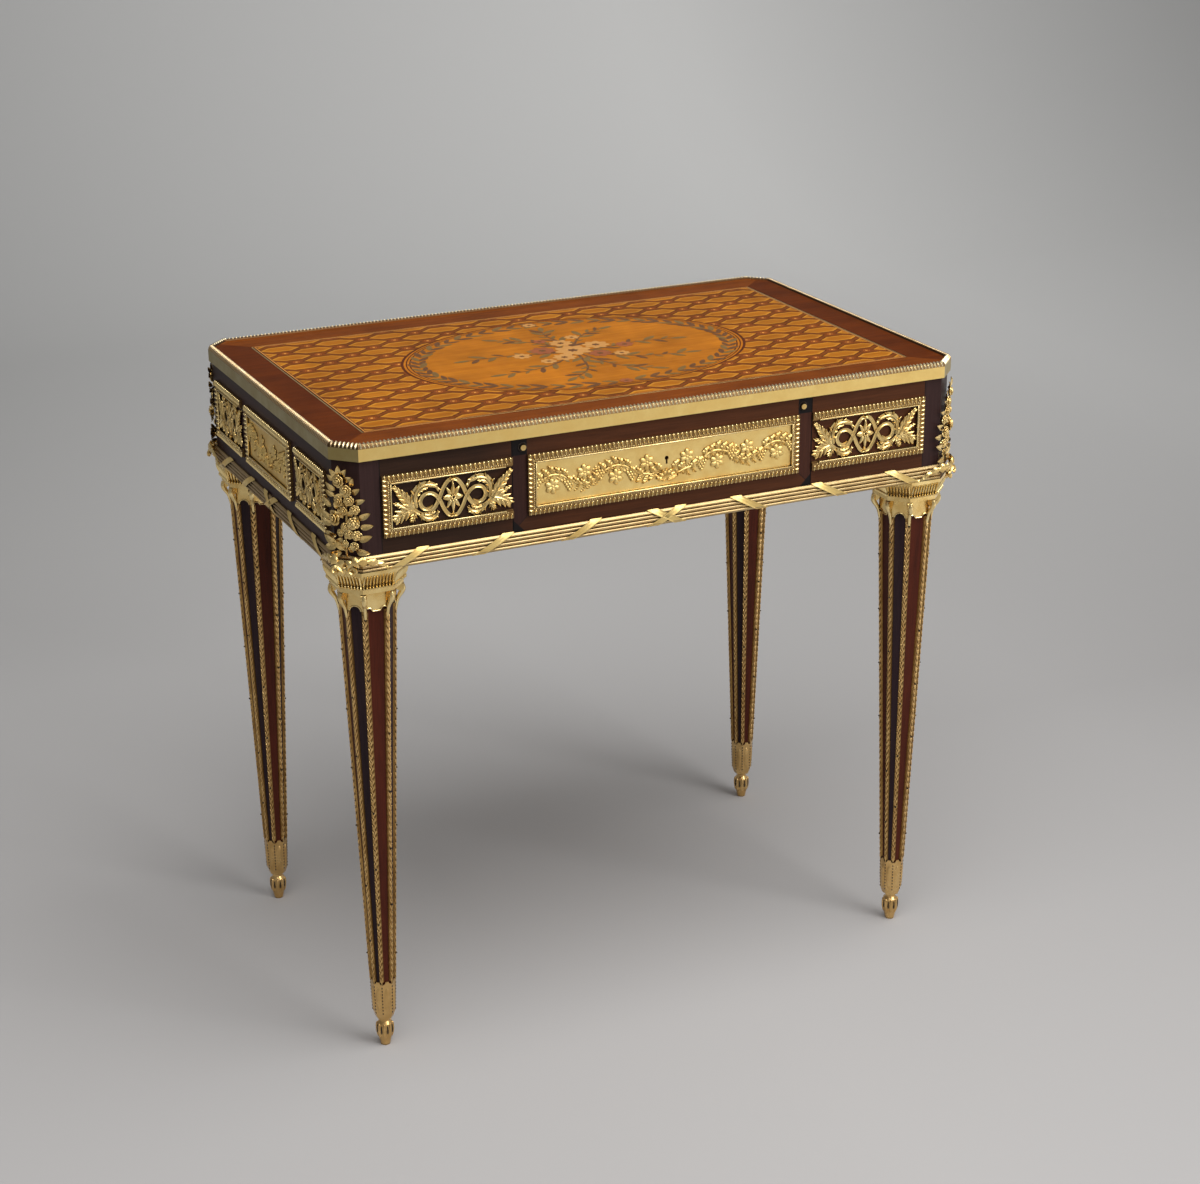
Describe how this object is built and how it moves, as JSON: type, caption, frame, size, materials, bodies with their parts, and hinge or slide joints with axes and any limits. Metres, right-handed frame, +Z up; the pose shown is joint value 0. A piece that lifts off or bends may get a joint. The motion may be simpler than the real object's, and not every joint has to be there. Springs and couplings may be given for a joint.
{
  "type": "mechanical writing table",
  "caption": "Small writing table with a rising top on racked rods, a tilting reading flap, lidded side compartments, a locking frieze drawer and gilt mounts on tapering octagonal legs.",
  "frame": {"origin": "on the floor under the table's centre", "axes": "+X to the sitter's right, +Y to the back, away from the drawer, +Z up"},
  "size_m": [0.78, 0.488, 0.75],
  "materials": {
    "dark_veneer": "polished dark red-brown veneer",
    "gilt_bronze": "fire-gilt bronze, burnished high lights on a matt ground",
    "oak": "waxed oak",
    "marquetry": "polished trellis marquetry",
    "brass": "worked brass",
    "steel": "filed and oiled"
  },
  "bodies": {
    "stand": {"rear_right_leg": "dark_veneer", "rear_left_leg": "dark_veneer", "front_right_leg": "dark_veneer", "front_left_leg": "dark_veneer", "sabots": "gilt_bronze", "capitals": "gilt_bronze", "arris_strips": "gilt_bronze", "front_right_panel": "dark_veneer", "front_left_panel": "dark_veneer", "right_panel": "dark_veneer", "left_panel": "dark_veneer", "back_panel": "dark_veneer", "front_bottom_rail": "dark_veneer", "bottom_board": "oak", "right_partition": "oak", "left_partition": "oak", "drawer_runners": "oak", "reeded_moulding": "gilt_bronze", "scroll_frames": "gilt_bronze", "scroll_mounts": "gilt_bronze", "plaque_frames": "gilt_bronze", "relief_plaques": "gilt_bronze", "corner_garlands": "gilt_bronze", "crank_ring": "brass", "shaft_bearings": "brass"},
    "top": {"top_frame": "marquetry", "lift_rods": "steel", "edge_band": "gilt_bronze", "right_compartment": "oak", "left_compartment": "oak", "well": "oak", "hinge_barrels": "brass", "ratchet_bars": "brass"},
    "front_shaft": {"front_lift_shaft": "steel", "front_shaft_gears": "brass"},
    "rear_shaft": {"rear_lift_shaft": "steel", "rear_shaft_gears": "brass"},
    "link_shaft": {"long_shaft": "steel", "long_shaft_gears": "brass"},
    "flap": {"reading_flap": "marquetry", "prop_lugs": "brass"},
    "prop": {"flap_prop": "oak"},
    "right_lid": {"right_lid": "marquetry"},
    "left_lid": {"left_lid": "marquetry"},
    "drawer": {"drawer_front": "dark_veneer", "drawer_sides": "oak", "drawer_back": "oak", "drawer_bottom": "oak", "drawer_plaque_frame": "gilt_bronze", "drawer_plaque": "gilt_bronze", "lock_case": "brass", "button_springs": "brass"},
    "bolt": {"lock_bolt": "steel"},
    "right_button": {"right_button": "brass"},
    "left_button": {"left_button": "brass"}
  },
  "joints": [
    {"name": "top_lift", "type": "slide", "parent": "stand", "child": "top", "axis": [0, 0, 1], "range_m": [0, 0.2]},
    {"name": "front_shaft_turn", "type": "hinge", "parent": "stand", "child": "front_shaft", "pos_m": [0, -0.185, 0.633], "axis": [-1, 0, 0], "range_deg": [-1, 1092.35]},
    {"name": "rear_shaft_turn", "type": "hinge", "parent": "stand", "child": "rear_shaft", "pos_m": [0, 0.185, 0.633], "axis": [1, 0, 0], "range_deg": [-1, 1092.35]},
    {"name": "link_shaft_turn", "type": "hinge", "parent": "stand", "child": "link_shaft", "pos_m": [0.3, 0, 0.633], "axis": [0, -1, 0], "range_deg": [-1, 1092.35]},
    {"name": "flap_hinge", "type": "hinge", "parent": "top", "child": "flap", "pos_m": [0, -0.196, 0.7468], "axis": [1, 0, 0], "range_deg": [0, 45]},
    {"name": "prop_hinge", "type": "hinge", "parent": "flap", "child": "prop", "pos_m": [0, -0.046, 0.7337], "axis": [1, 0, 0], "range_deg": [-93.7, 0.5]},
    {"name": "right_lid_hinge", "type": "hinge", "parent": "top", "child": "right_lid", "pos_m": [0.342, 0, 0.7468], "axis": [0, 1, 0], "range_deg": [0, 90]},
    {"name": "left_lid_hinge", "type": "hinge", "parent": "top", "child": "left_lid", "pos_m": [-0.342, 0, 0.7468], "axis": [0, -1, 0], "range_deg": [0, 90]},
    {"name": "drawer_slide", "type": "slide", "parent": "stand", "child": "drawer", "axis": [0, -1, 0], "range_m": [0, 0.23]},
    {"name": "bolt_slide", "type": "slide", "parent": "drawer", "child": "bolt", "axis": [0, 0, 1], "range_m": [0, 0.006]},
    {"name": "right_button_press", "type": "slide", "parent": "drawer", "child": "right_button", "axis": [0, 1, 0], "range_m": [0, 0.002], "stiffness_N_per_m": 400, "springref_m": -0.001},
    {"name": "left_button_press", "type": "slide", "parent": "drawer", "child": "left_button", "axis": [0, 1, 0], "range_m": [0, 0.002], "stiffness_N_per_m": 400, "springref_m": -0.001}
  ],
  "couplings": [
    {"joint": "front_shaft_turn", "follows": "top_lift", "rad_per_m": 95.238},
    {"joint": "rear_shaft_turn", "follows": "top_lift", "rad_per_m": 95.238},
    {"joint": "link_shaft_turn", "follows": "top_lift", "rad_per_m": 95.238},
    {"joint": "prop_hinge", "follows": "flap_hinge", "ratio": -2.06}
  ]
}
